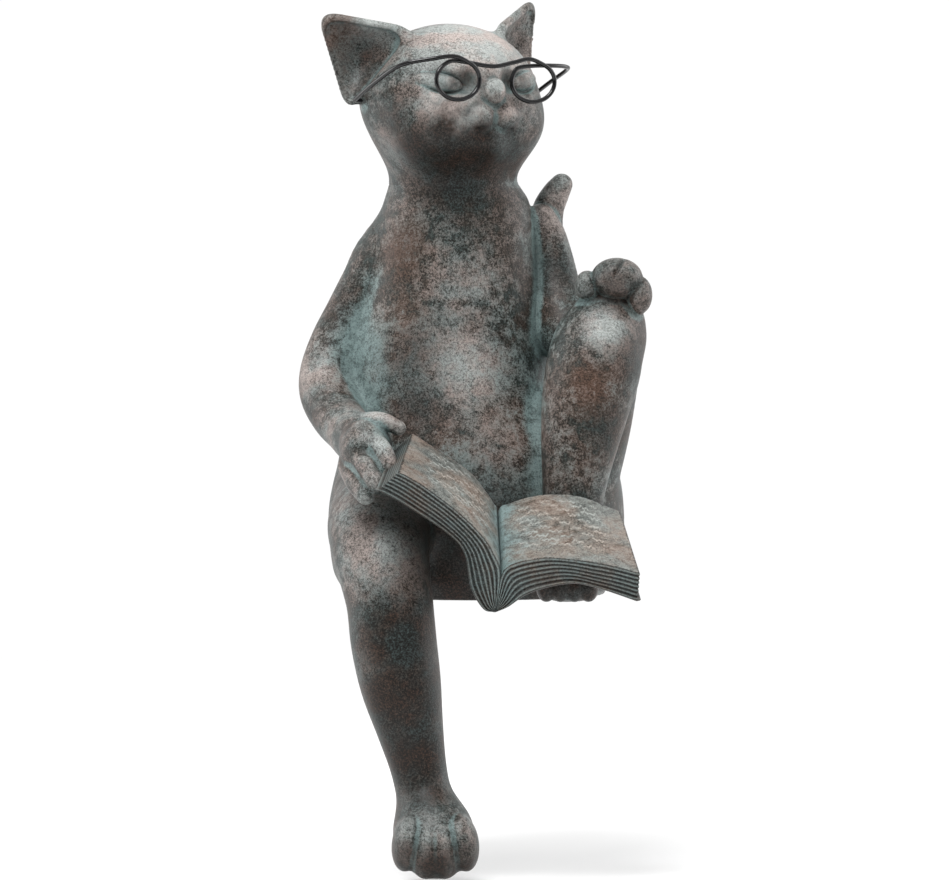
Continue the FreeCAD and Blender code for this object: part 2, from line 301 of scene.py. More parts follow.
def sculpt_head(clay):
    clay.add(head_oval((0, 0, 1.6), (31.4, 28.0, 25.2)))
    clay.add(head_oval((0, 4.5, -9.0), (24.0, 23.0, 18.0)), roundness=9.0)
    for side in (-1, 1):
        clay.add(head_oval((side * 13.0, 12.0, -6.5), (14.0, 13.5, 12.0)), roundness=8.0)
    clay.add(head_oval((0, 21.6, 8.0), (6.0, 6.4, 9.0)), roundness=5.0)
    for side in (-1, 1):
        clay.add(head_oval((side * 4.9, 26.0, -4.4), (5.9, 5.6, 5.6), turn=side * 12), roundness=1.6)
    clay.add(head_oval((0, 24.0, -12.6), (6.8, 5.2, 4.6)), roundness=3.5)
    for side in (-1, 1):
        # The socket, the pit beside the bridge and the eyeball.
        clay.cut(head_oval((side * 16.4, 25.2, 7.4), (9.2, 5.0, 4.5), turn=side * 30, roll=side * -10),
                 roundness=1.2)
        clay.cut(head_oval((side * 8.2, 27.4, 7.6), (3.4, 3.8, 4.2)), roundness=3.0)
        clay.add(head_oval((side * 16.6, 19.6, 7.0), (8.4, 4.0, 3.6), turn=side * 30, roll=side * -10),
                 roundness=0.2)
    clay.add(head_oval((0, 29.2, 4.2), (4.0, 3.7, 4.4)), roundness=0.9)
    for side in (-1, 1):
        clay.cut(head_oval((side * 2.4, 32.6, 1.2), (1.1, 1.7, 0.9), roll=side * 30), roundness=0.5)
    clay.cut(*head_limb([(0, 32.4, 0.0, 0.8), (0, 31.4, -3.5, 1.0), (0, 30.6, -7.8, 0.9)]), roundness=0.8)
    for side in (-1, 1):
        mouth = [(0, 30.6, -7.6, 0.9), (side * 3.6, 30.2, -9.8, 0.9), (side * 7.2, 29.2, -8.8, 0.5)]
        clay.cut(*head_limb(mouth), roundness=0.8)
    for side, lift in ((-1, -2.0), (1, 2.0)):
        tip = head(side * 41.5, -12.0, 30.4 + lift)
        low_corner = head(side * 35.0, -6.5, 0.5)
        high_corner = head(side * 19.0, 3.0, 23.5)
        clay.add(ear_plate(tip, low_corner, high_corner, cup=False), roundness=3.5)
        clay.cut(ear_plate(tip, low_corner, high_corner, cup=True), roundness=0.7)


def sculpt_right_arm(clay):
    clay.add(*limb([(-18, 8, 120, 11), (-30, 8, 115.5, 10.2), (-37.0, 7, 105.5, 8.7),
                    (-42.8, 5.5, 95, 8.3), (-47.4, 3.5, 85.5, 8.6), (-50.6, 0, 75.5, 9.0),
                    (-50.3, -5, 68, 9.3), (-46.8, -14, 61, 8.8), (-42.6, -25, 56.5, 8.2),
                    (-39.6, -36, 53.5, 8.0), (-37.0, -44, 52.5, 8.2)]))
    clay.add(oval((-36.5, -51, 51.5), (8.6, 11.0, 10.0), tilt=math.radians(18)), roundness=4.0)
    for fingers in ([(-38.5, -46, 60.5, 3.2), (-31.5, -51, 61.2, 2.9), (-25.5, -54, 58.8, 2.5)],
                    [(-37.0, -52, 57, 3.9), (-31.5, -60, 52.0, 3.6), (-28.5, -65, 47.0, 3.1)],
                    [(-40.0, -52, 52, 4.2), (-36.0, -62, 46.5, 3.9), (-33.0, -68, 41.5, 3.3)],
                    [(-42.0, -50, 46, 4.0), (-39.5, -60, 41.0, 3.8), (-36.5, -66, 37.0, 3.2)]):
        clay.add(*limb(fingers, 8), roundness=1.3)


def sculpt_left_arm(clay):
    clay.add(*limb([(22.5, 10, 127, 5.2), (24.6, 9, 121.5, 6.3), (26.5, 8, 113.5, 7.0),
                    (27.8, 6, 104, 8.2), (29.0, 4, 97, 9.6), (31.5, 0, 88.5, 10.6),
                    (38, -4, 85.5, 9.0), (43.5, -10, 90, 7.8), (47.0, -20, 100, 8.0)]))
    clay.add(oval((48.0, -28.0, 107.0), (9.0, 9.5, 7.2), tilt=math.radians(-14)), roundness=3.0)
    for place, radii in (((37.8, -31.0, 105.6), (4.2, 6.0, 5.2)), ((55.4, -31.5, 102.6), (4.4, 6.5, 6.4)),
                         ((47.8, -33.2, 108.4), (8.7, 7.6, 6.8))):
        clay.add(oval(place, radii, tilt=math.radians(-14)), roundness=0.6)
    clay.cut(*limb([(45.6, -41.0, 106.0, 0.5), (46.6, -41.0, 108.8, 0.7), (48.2, -39.8, 111.8, 0.7),
                    (49.8, -36.6, 114.6, 0.7), (50.4, -33.0, 115.4, 0.5)]), roundness=0.5)


def sculpt_right_leg(clay):
    clay.add(oval((-29, -2, 26), (19.8, 30, 24)))
    clay.add(*limb([(-28, -12, 26, 19.6), (-32.0, -30, 24.5, 17.8), (-31.6, -46, 17, 16.2),
                    (-28.7, -56, 1.5, 14.6), (-27.2, -58.5, -12.5, 14.4), (-25.0, -60, -25.9, 13.6),
                    (-22.2, -60.5, -39.3, 11.5), (-19.3, -60.5, -52.7, 9.6),
                    (-17.2, -61.5, -63, 9.2), (-15.2, -64.5, -71.5, 9.7)], 7), roundness=3.0)
    clay.add(oval((-13.2, -69.0, -78.2), (13.2, 15.0, 12.0), tilt=math.radians(26)), roundness=9.0)
    for number in range(4):
        offset = number - 1.5
        place = (-13.2 + offset * 6.2, -75.8 + 1.5 * abs(offset), -82.0 + 2.2 * abs(offset))
        clay.add(oval(place, (5.2, 9.0, 9.8), tilt=math.radians(26), roll=math.radians(-6 * offset)),
                 roundness=1.2)


def sculpt_left_leg(clay):
    clay.add(oval((24.5, 7, 31), (26.0, 31, 29)))
    clay.add(*limb([(31, -2, 36, 17), (37, -10, 58, 16), (42, -18, 78, 14), (45, -24, 88, 12.5)], 8),
             roundness=3.0)
    clay.add(*limb([(32.5, -38, 8, 8.8), (33.3, -38, 20, 9.3), (33.0, -37, 32, 10.1),
                    (33.8, -36, 42, 11.2), (35.4, -34, 54, 13.1), (37.4, -32, 66, 14.9),
                    (39.8, -30, 77, 16.0), (41.8, -28, 86, 15.2), (45.0, -26, 93, 12.2)], 8), roundness=3.0)
    clay.add(oval((31.0, -43.0, 7.0), (10.0, 13.0, 7.5)), roundness=4.0)
    for number in range(4):
        offset = number - 1.5
        clay.add(oval((31.0 + offset * 4.7, -52.0 + abs(offset), 5.2), (3.5, 5.0, 5.0)), roundness=0.8)
    clay.cut(below(0.0))


def sculpt_tail(clay):
    clay.add(*limb([(12, 38, 13, 9.6), (26, 48, 13.5, 9.2), (37, 45.5, 32, 8.4), (37.5, 34, 62, 7.5),
                    (30.6, 26, 92, 6.6), (25.8, 20, 112, 6.1), (24.4, 16.5, 123, 5.8),
                    (25.0, 15, 130, 5.4), (27.4, 14, 135.3, 4.7), (29.6, 13, 138.8, 3.8)], 8))


# Each casting: how it is shaped, the box it lies in, its grid step, and the fillet where it
# meets the castings before it. The torso and the head are split at the neck by a level plane.
CASTINGS = {
    "torso_shell": (sculpt_torso, (-56, -42, -3), (56, 54, 146), 0.9, 0.0),
    "head_casting": (sculpt_head, (-60, -38, 132), (38, 46, 208), 0.5, 8.0),
    "right_leg": (sculpt_right_leg, (-58, -96, -102), (8, 40, 56), 0.7, 7.0),
    "left_leg": (sculpt_left_leg, (-8, -66, -4), (66, 46, 112), 0.75, 5.0),
    "right_arm": (sculpt_right_arm, (-68, -82, 28), (-4, 26, 138), 0.65, 5.0),
    "left_arm": (sculpt_left_arm, (10, -48, 72), (66, 24, 136), 0.5, 2.2),
    "tail": (sculpt_tail, (-2, 4, -2), (54, 62, 146), 0.65, 1.4),
}


def box_blur(field, reach):
    """The mean of a field over a cube of 2 * reach + 1 grid points a side."""
    for axis in range(3):
        padded = np.concatenate([np.repeat(field.take([0], axis), reach + 1, axis), field,
                                 np.repeat(field.take([-1], axis), reach, axis)], axis)
        total = np.cumsum(padded, axis, dtype=np.float64)
        size = field.shape[axis]
        field = (total.take(range(2 * reach + 1, 2 * reach + 1 + size), axis)
                 - total.take(range(0, size), axis)) / (2 * reach + 1)
        field = field.astype(np.float32)
    return field


def sample(field, clay, points):
    """A field's value at points, by trilinear interpolation."""
    place = (points - clay.low) / clay.step
    top = np.array(field.shape) - 2
    cell = np.clip(place.astype(np.int64), 0, top)
    part = np.clip(place - cell, 0.0, 1.0)
    value = 0.0
    for corner in np.ndindex(2, 2, 2):
        weight = 1.0
        for i in range(3):
            weight = weight * (part[:, i] if corner[i] else 1.0 - part[:, i])
        value = value + weight * field[tuple((cell + corner).T)]
    return value


def slope(field, clay, points):
    """The field's gradient at points."""
    half = clay.step * 0.75
    columns = []
    for i in range(3):
        step = np.zeros(3)
        step[i] = half
        rise = sample(field, clay, points + step) - sample(field, clay, points - step)
        columns.append(rise / (2 * half))
    return np.stack(columns, axis=1)


def mesh_field(field, clay):
    """The zero surface of a field as points and quads, settled onto the exact surface."""
    grid = openvdb.FloatGrid(FAR)
    band = MESH_BAND_STEPS * clay.step
    grid.copyFromArray(np.clip(field, -band, band).astype(np.float32))
    points, quads = grid.convertToQuads(0.0)
    points = points * clay.step + clay.low
    for _ in range(SETTLE_MOVES):
        gradient = slope(field, clay, points)
        steepness = (gradient ** 2).sum(axis=1) + FLATTEST
        shift = (sample(field, clay, points) / steepness)[:, None] * gradient
        points = points - np.clip(shift, -clay.step, clay.step)
    return points, quads[:, ::-1]


def grown_field(name):
    """The whole figure's field in one casting's box, and how far each point is outside it."""
    _, low, high, step, _ = CASTINGS[name]
    whole = Clay(low, high, step)
    own = None
    others = np.full_like(whole.field, FAR)
    z = whole.axes[2][None, None, :]
    for other, (sculpt, other_low, other_high, _, fillet) in CASTINGS.items():
        if np.any(np.array(other_low) > np.array(high)) or np.any(np.array(other_high) < np.array(low)):
            continue
        part = Clay(low, high, step)
        sculpt(part)
        whole.field = join(whole.field, part.field, fillet)
        territory = part.field
        if other == "torso_shell":
            above_neck = np.maximum(territory, NECK_HEIGHT - z)
            territory = np.maximum(territory, z - NECK_HEIGHT)
            if name == "head_casting":
                own = above_neck
            elif name != "torso_shell":
                others = np.minimum(others, above_neck)
        if other == "head_casting":
            territory = np.maximum(territory, NECK_HEIGHT - z)
        if other == name:
            own = territory if own is None else np.minimum(own, territory)
        else:
            others = np.minimum(others, territory)
        if name == "torso_shell" and other == "torso_shell":
            others = np.minimum(others, above_neck)
    return whole, own - others


def mesh_object(name, points, faces, attributes=None):
    mesh = bpy.data.meshes.new(name)
    mesh.from_pydata((points * MM).tolist(), [], faces.tolist() if hasattr(faces, "tolist") else faces)
    for key, values in (attributes or {}).items():
        layer = mesh.attributes.new(key, "FLOAT", "POINT")
        layer.data.foreach_set("value", values.astype(np.float32))
    mesh.shade_smooth()
    piece = bpy.data.objects.new(name, mesh)
    bpy.context.collection.objects.link(piece)
    return piece


# ---- where each colour is painted, with painted highlights and painted shade among them: (x, y, z, reach, amount) ----
# Pale rubbed spots, which also paint the highlights on the forehead, cheeks, ear rims, nose, belly, knees,
# elbow, knuckles and tail tip.
WORN_AND_HIGHLIT = [
    (-1, -34, 82, 17, 1.7), (-2, -28, 104, 14, 0.8), (10, -34, 60, 13, 0.9), (46, -48, 94, 9, 2.2),
    (-30, -48, 34, 14, 0.7), (-30, -60, 16, 13, 1.0), (-14, -82, -74, 8, 0.4),
    (*head(0, 18, 22), 22, 1.5), (*head(-29, -3, 27), 4.5, 1.0), (*head(-14, 26, 0.5), 9, 3.0),
    (*head(-29, 8, -16), 8, 0.8), (*head(14, 24, -4), 9, 0.5), (*head(1, 32, 6), 3.4, 1.1),
    (*head(-4.8, 31, -3), 4, 0.5), (*head(4.8, 31, -3), 4, 0.5), (-52, -6, 74, 9, 0.9),
    (-40, -30, 60, 10, 0.7), (-33, -52, 62, 5, 0.8), (-31, -62, 54, 5, 0.7), (28, 8, 134, 8, 0.7),
    (*head(-26, 0, 26), 10, 0.6),
]
RUST = [
    (14, -30, 62, 14, 1.1), (-26, -14, 120, 12, 0.9), (18, -24, 104, 11, 0.6), (-8, -34, 52, 12, 0.7),
    (40, -46, 72, 14, 0.7), (36, -42, 50, 11, 0.5), (-22, -72, -30, 13, 0.4), (-27, -70, -84, 8, 0.7),
    (-3, -76, -86, 7, 0.5), (*head(-38, -8, 24), 8, 1.2), (-26, -18, 96, 10, 0.7),
    (*head(-26, 12, -10), 7, 0.6),
]
# Painted shade: darkening under the chin, neck and muzzle, inside the ears, in the eye pits and mouth
# corners, under the hand, paw and toes, in the armpits, between the legs and under the book; the hanging
# leg is made darker down its length.
SHADE = [
    (*head(-17, 23, -9), 7.5, 1.7), (*head(-26, 12, -7), 7, 1.3), (*head(-5, 30, -10), 6, 1.6),
    (*head(6, 29, -9.5), 5, 1.1), (*head(-32, -5, 16), 10, 1.2), (*head(-37, -8, 23), 7, 1.0),
    (*head(-14, 24, 7.5), 4.5, 0.7), (*head(-13, 25, 8.5), 3.5, 1.1), (*head(-18, 23, 12), 4, 0.8),
    (*head(14, 25, 8.5), 3.5, 0.8), (47, -38, 105, 10, 0.7), (*head(-9, 25, 8), 4, 1.2),
    (*head(9, 25, 8), 4, 1.2), (*head(-34, -6, 14), 9, 1.0), (*head(-12, 23, 7.4), 3, 0.6),
    (-26, -16, 120, 10, 0.6), (0, -44, 14, 20, 2.0), (-14, -44, 12, 12, 1.6), (-6, -22, 146, 18, 1.6),
    (-2, -24, 132, 12, 0.9), (-26, -74, -12, 17, 1.5), (-24, -74, -32, 18, 1.8),
    (-20, -72, -50, 15, 1.8), (-17, -72, -62, 8, 1.2), (-26, -28, 84, 14, 1.2), (-22, -28, 66, 11, 0.9),
    (28, -4, 112, 9, 1.1), (*head(-6, 24, -17), 12, 2.0), (*head(-22, 16, -15), 11, 1.5),
    (*head(8, 24, -18), 9, 1.0), (52, -36, 80, 10, 0.9), (*head(-38, -8, 20), 10, 0.9),
    (-14, -86, -89, 9, 2.0), (-23, -84, -82, 6, 1.0), (-4, -84, -82, 6, 1.0), (-14, -88, -80, 5, 0.8),
    (-25, -76, -84, 8, 1.2), (-3, -78, -86, 7, 1.2), (0, -36, 8, 26, 2.4), (31, -50, 4, 20, 2.6),
    (24, -40, 18, 14, 0.9), (46, -46, 58, 10, 0.7), (-44, 0, 100, 9, 0.4), (-56, -12, 60, 9, 0.7),
    (-38, -20, 14, 14, 0.6),
]
VERDIGRIS = [
    (21, -20, 88, 12, 1.6), (22, -18, 104, 8, 0.8), (21, -30, 66, 9, 0.7), (-40, -9, 84, 10, 1.3),
    (-34, -17, 72, 8, 0.8), (-32, -14, 108, 8, 0.4), (-6, -36, 42, 13, 0.7), (12, -34, 38, 12, 0.7),
    (20, -4, 118, 7, 0.9), (*head(-18, 24, 6.4), 6, 1.0), (*head(16.4, 24, 6.4), 6, 1.0),
    (*head(-24, 6, 22), 7, 0.7), (*head(-34, -4, 6), 8, 0.7), (*head(0, 32, -1), 1.8, 1.2),
    (*head(0, 31, -5), 1.8, 1.3), (*head(-4, 30, -9.5), 2.4, 1.0), (*head(4, 30, -9.5), 2.4, 1.0),
    (38, -6, 94, 9, 1.1), (-33, -54, 57, 5, 0.9), (48, 10, 40, 14, 0.8), (-36, -38, 40, 7, 0.6),
    (-24, -66, 4, 7, 0.4),
]
BARE = [
    (*head(0, 16, 20), 20, 0.8), (47, -36, 103, 9, 1.0), (*head(-34, -6, 14), 12, 0.8),
    (*head(34, -6, 16), 12, 0.6), (-8, -8, 148, 32, 1.0), (-16, -62, -62, 15, 1.3),
    (-8, 30, 148, 30, 0.6), (31, -50, 4, 18, 1.5), (-4, -42, 10, 22, 1.6),
]


def painted(points, spots):
    """How strongly a list of soft round spots covers each point."""
    cover = np.zeros(len(points))
    for *place, reach, amount in spots:
        gap = ((points - np.array(place, float)) ** 2).sum(axis=1) / reach ** 2
        cover = np.maximum(cover, amount * np.exp(-gap))
    return cover


def cast(name, material):
    """Meshes one casting and stands it in for the CAD node of that name."""
    whole, margin = grown_field(name)
    field = whole.field + np.maximum(SEAM_SLOPE * margin + SEAM, 0.0)
    points, quads = mesh_field(field, whole)
    fine_blur = box_blur(whole.field, max(1, round(FINE_BLUR / whole.step)))
    broad_blur = box_blur(whole.field, max(2, round(BROAD_BLUR / whole.step)))
    fine = sample(fine_blur - whole.field, whole, points)
    broad = sample(broad_blur - whole.field, whole, points)
    # Paint wears off what stands out, and verdigris gathers in what is hollow; painted highlights on the
    # lit heights and painted shade in the deep creases and shaded spots are added to these masks.
    attributes = {
        # Pale rubbed heights, with painted highlights among them.
        "wear_and_highlight": (np.clip((broad - 0.25) / 0.9, 0, 0.3) + np.clip((fine - 0.2) / 0.3, 0, 0.5)
                 + painted(points, WORN_AND_HIGHLIT)),
        "hollow": (np.clip((0.02 - broad) / 0.5, 0, 0.7) + np.clip(-fine / 0.12, 0, 0.8)
                   + painted(points, VERDIGRIS) - painted(points, BARE)),
        "rust": painted(points, RUST),
        # Painted shade: the SHADE spots, and darkening in the deep creases.
        "shade": painted(points, SHADE) + np.clip(-fine / 0.3 - 0.25, 0, 0.9),
    }
    piece = mesh_object("cast_" + name, points, quads, attributes)
    piece.data.materials.append(material)
    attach(piece, "figure")
    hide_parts(name)


# ---- the book: two fanned blocks of leaves, as curves of (x, z) from outer edge to spine ----
NEAR_Y = -87.5
FAR_Y = -47.0
LEAVES = 7
EDGE = 0.02
WRITING_ROWS = 15.0
INK_HEIGHT = 0.3
PAGE_DIP = 0.35
# How far the leaves and the cover round out at the ends and at the outer edge.
END_LEAF = 0.55
END_COVER = 0.5
RIM_LEAF = 0.5
RIM_COVER = 0.9
BLOCKS = {
    "left": dict(
        near_top=[(-25.0, 46.0), (-17.0, 41.4), (-4.6, 31.9), (3.0, 24.2),
                  (6.2, 19.0), (8.6, 12.4), (6.9, 0.2)],
        near_base=[(-31.8, 39.7), (-22.9, 34.8), (-8.3, 24.8), (-3.4, 18.3),
                   (-1.6, 8.0), (2.6, 0.6), (6.5, -0.6)],
        far_top=[(-20.8, 56.5), (-11.3, 50.4), (-1.7, 44.0), (4.0, 37.0),
                 (6.2, 33.6), (7.4, 31.0), (6.9, 20.0)],
        far_base=[(-27.0, 50.5), (-17.0, 43.5), (-8.0, 36.0), (-2.6, 30.0),
                  (-0.4, 25.0), (3.0, 20.5), (6.5, 19.0)]),
    "right": dict(
        near_top=[(54.2, 12.7), (42.0, 15.6), (30.3, 17.2), (22.0, 17.5),
                  (13.0, 15.6), (8.8, 12.0), (7.1, 0.2)],
        near_base=[(53.5, 3.1), (42.0, 7.0), (33.1, 8.9), (24.0, 7.6),
                   (16.7, 5.0), (11.0, 1.2), (6.7, -0.6)],
        far_top=[(48.4, 30.6), (36.6, 35.3), (27.0, 36.2), (19.0, 35.3),
                 (12.0, 33.0), (8.0, 30.6), (7.1, 20.0)],
        far_base=[(47.8, 21.5), (36.5, 26.4), (28.0, 27.4), (20.0, 26.0),
                  (13.5, 23.4), (10.0, 20.8), (6.7, 19.0)]),
}


def along(curve, places):
    """Points along a smooth curve, evenly by its length; places run from 0 to 1."""
    path = smooth_path(curve, 12)
    length = np.concatenate([[0.0], np.cumsum(np.linalg.norm(np.diff(path, axis=0), axis=1))])
    return np.stack([np.interp(places * length[-1], length, path[:, i]) for i in (0, 1)], axis=-1)


def writing(u, v, seed):
    """Raised wavy strokes in rows that spell nothing: height 0 to 1 over a page."""
    row = np.floor(v * WRITING_ROWS)
    level = v * WRITING_ROWS - row
    phase = row * 2.399 + seed
    wave = (0.5 + 0.17 * np.sin(u * 190 + phase) + 0.12 * np.sin(u * 97 + 2.0 * phase)
            + 0.08 * np.sin(u * 263 + phase))
    stroke = np.exp(-((level - wave) / 0.15) ** 2)
    words = smoothstep(-0.15, 0.25, np.sin(u * 37 + 1.7 * phase) + 0.6 * np.sin(u * 61 + phase))
    across_page = smoothstep(0.1, 0.2, u) * smoothstep(0.74, 0.62, u)
    along_page = smoothstep(0.16, 0.26, v) * smoothstep(0.96, 0.86, v)
    return stroke * words * across_page * along_page


def book_block(curves, outward, seed):
    """One half of the book as points, quads and its paint masks. A point is set by u (outer
    edge to spine), w (page to cover) and v (near edge to far edge), each from 0 to 1."""
    fine = 1.0
    edge = np.array([0.3, 1.0]) * EDGE
    us = np.concatenate([[0.0], edge, np.linspace(0.03, 1.0, int(132 * fine))])
    vs = np.concatenate([[0.0], edge, np.linspace(0.03, 0.97, int(96 * fine)), 1 - edge[::-1], [1.0]])
    ws = np.linspace(0.0, 1.0, LEAVES * 6 + 1)
    tops = {key: along(curve, us) for key, curve in curves.items()}
    points, quads, masks = [], [], []
    for fixed, value in (("w", 0), ("w", 1), ("v", 0), ("v", 1), ("u", 0)):
        grids = {"u": us, "v": vs, "w": ws}
        first, second = [key for key in "uvw" if key != fixed]
        places = np.meshgrid(np.arange(len(grids[first])), np.arange(len(grids[second])), indexing="ij")
        index = dict(zip((first, second), places))
        index[fixed] = np.full_like(index[first], value * (len(grids[fixed]) - 1))
        ui = index["u"]
        u, v, w = us[ui], vs[index["v"]], ws[index["w"]]
        near = tops["near_top"][ui] * (1 - w)[..., None] + tops["near_base"][ui] * w[..., None]
        far = tops["far_top"][ui] * (1 - w)[..., None] + tops["far_base"][ui] * w[..., None]
        across = near * (1 - v)[..., None] + far * v[..., None]
        sway = 0.35 * np.sin(7 * u + seed + 5 * v) + 0.2 * np.sin(19 * u + 2 * seed)
        waver = w + 0.25 * w * (1 - w) * sway
        leaf = np.sqrt(np.abs(np.sin(np.pi * LEAVES * waver)))
        cover = smoothstep(0.86, 0.93, w)
        ends = np.clip(1 - np.minimum(v, 1 - v) / EDGE, 0, 1) * (END_LEAF * leaf + END_COVER * cover * leaf)
        rim = np.clip(1 - u / EDGE, 0, 1) * (RIM_LEAF * leaf + RIM_COVER * cover * leaf)
        ink = writing(u, v, seed) * (w == 0)
        page_dip = PAGE_DIP * np.sin(3.1 * u + 2.0 * v + seed) * smoothstep(0.0, 0.1, u) * (w == 0)
        y = NEAR_Y + (FAR_Y - NEAR_Y) * v + np.where(v < 0.5, -ends, ends)
        x = across[..., 0] + outward * rim
        z = across[..., 1] + INK_HEIGHT * ink + page_dip * smoothstep(0.0, 0.1, v) * smoothstep(0.9, 0.8, u)
        start = sum(len(p) for p in points)
        points.append(np.stack([x, y, z], axis=-1).reshape(-1, 3))
        m, n = u.shape
        a = (np.arange(m - 1)[:, None] * n + np.arange(n - 1)[None, :]).ravel() + start
        quad = np.stack([a, a + n, a + n + 1, a + 1], axis=1)
        flip = (value == 1) != (fixed == "v")
        if (outward > 0) != flip:
            quad = quad[:, ::-1]
        quads.append(quad)
        crease = (1 - leaf) * np.clip(np.maximum(ends, rim) * 40 + (fixed != "w"), 0, 1)
        blot = 0.5 + 0.5 * np.sin(5 * u + 7 * v + seed) * np.sin(9 * u - 6 * v + 2 * seed)
        gutter = smoothstep(0.55, 0.86, u + 0.16 * (blot - 0.5)) * (w == 0)
        page = (fixed == "w") * (w == 0)
        side = float(fixed != "w")
        # Painted shade on the book's sides, deepest between the leaves and towards the cover, and over the
        # whole underside of the cover; the other masks are lighter pages, writing and leaf ridges,
        # verdigris in the creases and gutter, and rust blots.
        masks.append(np.stack([1.2 * ink + 0.5 * page * (1 - gutter) + 0.8 * leaf ** 10 * side,
                               0.4 * crease * side + 1.5 * gutter * page + 0.8 * leaf ** 8 * side,
                               1.1 * smoothstep(0.45, 0.8, blot) * page * (1 - gutter),
                               (0.2 + 1.3 * (1 - leaf ** 4) + 0.4 * w) * side + 1.2 * (w == 1)],
                              axis=-1).reshape(-1, 4))
    return np.concatenate(points), np.concatenate(quads), np.concatenate(masks)


def bind_book(material):
    points, quads, masks = [], [], []
    for (side, curves), outward, seed in zip(BLOCKS.items(), (-1, 1), (0.7, 2.9)):
        block = book_block(curves, outward, seed)
        quads.append(block[1] + sum(len(p) for p in points))
        points.append(block[0])
        masks.append(block[2])
    masks = np.concatenate(masks)
    attributes = {name: masks[:, i] for i, name in enumerate(("wear_and_highlight", "hollow", "rust", "shade"))}
    piece = mesh_object("open_book", np.concatenate(points), np.concatenate(quads), attributes)
    bm = bmesh.new()
    bm.from_mesh(piece.data)
    bmesh.ops.remove_doubles(bm, verts=bm.verts, dist=2e-6)
    bm.to_mesh(piece.data)
    bm.free()
    piece.data.materials.append(material)
    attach(piece, "figure")
    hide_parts("book")


# ---- spectacles: one wire, bent as its CAD solid is, with the loops' outline made oval ----
WIRE_RADIUS = 0.75
WIRE_SIDES = 16
LOOP_HALF_WIDTH = 8.3
LOOP_HALF_HEIGHT = 6.6
LOOP_POINTS = 13
LOOP_START = 62.0
LOOP_FORWARD = 31.0
LOOP_STEP_BACK = 1.65


def lens_loop(side, rise, turn):
    """One turn round a lens, from the top towards the cat's left, stepping back as it goes."""
    turned = np.linspace(0.0, 1.0, LOOP_POINTS)
    angles = np.radians(LOOP_START - turn * turned)
    return [(side + LOOP_HALF_WIDTH * math.cos(angle), LOOP_FORWARD - LOOP_STEP_BACK * share,
             rise + LOOP_HALF_HEIGHT * math.sin(angle)) for angle, share in zip(angles, turned)]


def tube(path, radius, sides):
    """A round bar's points and faces along a path, with flat ends."""
    tangents = np.gradient(path, axis=0)
    tangents /= np.linalg.norm(tangents, axis=1)[:, None]
    angles = np.arange(sides)[:, None] * 2 * math.pi / sides
    across = np.cross(tangents[0], (0.0, 0.0, 1.0))
    rings = []
    for centre, tangent in zip(path, tangents):
        across = across - tangent * (across @ tangent)
        across /= np.linalg.norm(across)
        beside = np.cross(tangent, across)
        rings.append(centre + radius * (np.cos(angles) * across + np.sin(angles) * beside))
    last = (len(path) - 1) * sides
    faces = []
    for start in range(0, last, sides):
        for j in range(sides):
            a = start + j
            b = start + (j + 1) % sides
            faces.append([a, b, b + sides, a + sides])
    faces += [list(range(sides))[::-1], list(range(last, last + sides))]
    return np.concatenate(rings), faces


def bend_spectacles(material):
    """The wire from its right pivot, round both lenses, to its left pivot, in the head's directions."""
    stations = [(-28, -4, 1), (-34, -4, 1), (-34.9, -3, 1.5), (-35, 9, 7), (-33, 22.5, 13),
                (-24.5, 29, 15.2), (-17, 31, 16.0)]
    stations += lens_loop(-15.0, 8.0, 324.0)
    stations += [(-9.5, 29.6, 13.7), (-5, 30.3, 12.9), (0, 30.8, 12.6), (7, 31.2, 13.9), (13, 31.3, 14.9)]
    stations += lens_loop(15.0, 7.0, 290.0)
    stations += [(15.5, 29.3, 12.6), (24, 28.6, 12.6), (30.5, 26.5, 12.2), (33.6, 22, 11.0), (35, 9, 6.6),
                 (34.9, -3, 1.5), (34, -4, 1), (28, -4, 1)]
    path = smooth_path([head(*station) for station in stations], 6)
    piece = mesh_object("bent_wire", *tube(path, WIRE_RADIUS, WIRE_SIDES))
    piece.data.materials.append(material)
    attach(piece, "spectacles")
    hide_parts("spectacles")


